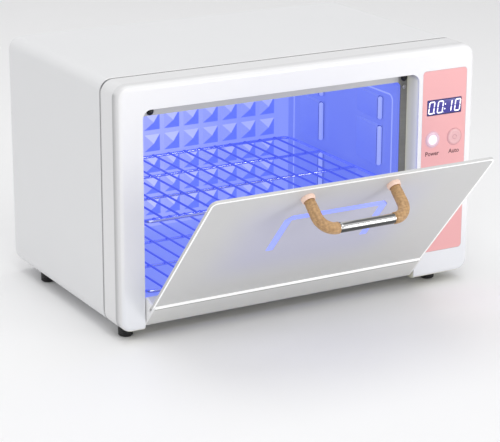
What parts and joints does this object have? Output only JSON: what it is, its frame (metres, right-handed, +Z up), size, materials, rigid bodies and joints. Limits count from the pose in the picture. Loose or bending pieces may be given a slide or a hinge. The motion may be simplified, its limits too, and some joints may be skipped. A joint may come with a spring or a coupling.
{
  "type": "uv sterilizer cabinet",
  "caption": "Countertop ultraviolet sterilizer cabinet with a drop-down front door, bow handle, wire racks, tube lamps and a side control panel.",
  "frame": {"origin": "on the surface the feet stand on, under the middle of the case (half its width and half its depth)", "axes": "+X to the user's right facing the door, +Y to the back, +Z up; the door is on the -Y side"},
  "size_m": [0.38, 0.3868, 0.238],
  "materials": {
    "case_paint": "satin white powder coat",
    "bezel_plastic": "gloss white moulding",
    "fascia_pink": "pink gloss insert",
    "display_tint": "dark violet tinted window",
    "button_white": "translucent white cap",
    "button_pink": "pink cap",
    "circuit_board": "green laminate",
    "black_plastic": "black moulding",
    "white_plastic": "white moulding",
    "lamp_ballast_case": "white enamel",
    "rubber_black": "black rubber",
    "cavity_steel": "bright sheet",
    "reflector_aluminium": "polished sheet",
    "rack_chrome": "bright wire",
    "lamp_glass": "lit ultraviolet tube",
    "door_metal": "satin grey sheet",
    "cap_plastic": "white end caps",
    "strip_blue": "translucent blue light strip",
    "steel_hardware": "bright zinc",
    "pin_brass": "plated contact pins",
    "handle_wood": "lacquered light wood",
    "handle_chrome": "mirror polished tube",
    "collar_peach": "pale peach collar"
  },
  "bodies": {
    "cabinet": {"auto_switch": "black_plastic", "base_pan": "case_paint", "board_bracket": "cavity_steel", "board_posts": "white_plastic", "board_screws": "steel_hardware", "bumper_left": "rubber_black", "bumper_right": "rubber_black", "case_screws": "steel_hardware", "case_wrap": "case_paint", "cavity_flange": "cavity_steel", "cavity_rear_wall": "cavity_steel", "cavity_shell": "cavity_steel", "control_board": "circuit_board", "control_fascia": "fascia_pink", "display_module": "display_tint", "display_window": "display_tint", "door_sensor": "black_plastic", "flange_screws": "steel_hardware", "foot_front_left": "rubber_black", "foot_front_right": "rubber_black", "foot_rear_left": "rubber_black", "foot_rear_right": "rubber_black", "foot_screws": "steel_hardware", "front_bezel": "bezel_plastic", "fuse": "lamp_glass", "fuse_holder": "black_plastic", "hinge_pin_left": "steel_hardware", "hinge_pin_right": "steel_hardware", "inlet_pins": "pin_brass", "lamp_ballast": "lamp_ballast_case", "lamp_socket_left": "white_plastic", "lamp_socket_right": "white_plastic", "mains_inlet": "black_plastic", "power_board": "circuit_board", "power_switch": "black_plastic", "rack_support_left": "cavity_steel", "rack_support_right": "cavity_steel", "rear_panel": "case_paint", "reflector_tray": "reflector_aluminium", "uv_lamp_front": "lamp_glass", "uv_lamp_rear": "lamp_glass"},
    "door": {"door_end_cap_left": "cap_plastic", "door_end_cap_right": "cap_plastic", "door_light_strip": "strip_blue", "door_magnet": "steel_hardware", "door_panel": "door_metal", "door_rail": "door_metal", "handle_arm_left": "handle_wood", "handle_arm_right": "handle_wood", "handle_bar": "handle_chrome", "handle_collar_left": "collar_peach", "handle_collar_right": "collar_peach", "handle_screws": "steel_hardware", "hinge_bush_left": "white_plastic", "hinge_bush_right": "white_plastic"},
    "power_button": {"power_button": "button_white"},
    "auto_button": {"auto_button": "button_pink"},
    "upper_rack": {"upper_rack": "rack_chrome"},
    "lower_rack": {"lower_rack": "rack_chrome"}
  },
  "joints": [
    {"name": "door_hinge", "type": "hinge", "parent": "cabinet", "child": "door", "pos_m": [0, -0.116, 0.0205], "axis": [1, 0, 0], "range_deg": [-41.5, 38.5]},
    {"name": "power_press", "type": "slide", "parent": "cabinet", "child": "power_button", "axis": [0, 1, 0], "range_m": [0, 0.001], "stiffness_N_per_m": 900},
    {"name": "auto_press", "type": "slide", "parent": "cabinet", "child": "auto_button", "axis": [0, 1, 0], "range_m": [0, 0.001], "stiffness_N_per_m": 900},
    {"name": "upper_rack_slide", "type": "slide", "parent": "cabinet", "child": "upper_rack", "axis": [0, -1, 0], "range_m": [0, 0.08]},
    {"name": "lower_rack_slide", "type": "slide", "parent": "cabinet", "child": "lower_rack", "axis": [0, -1, 0], "range_m": [0, 0.012]}
  ]
}
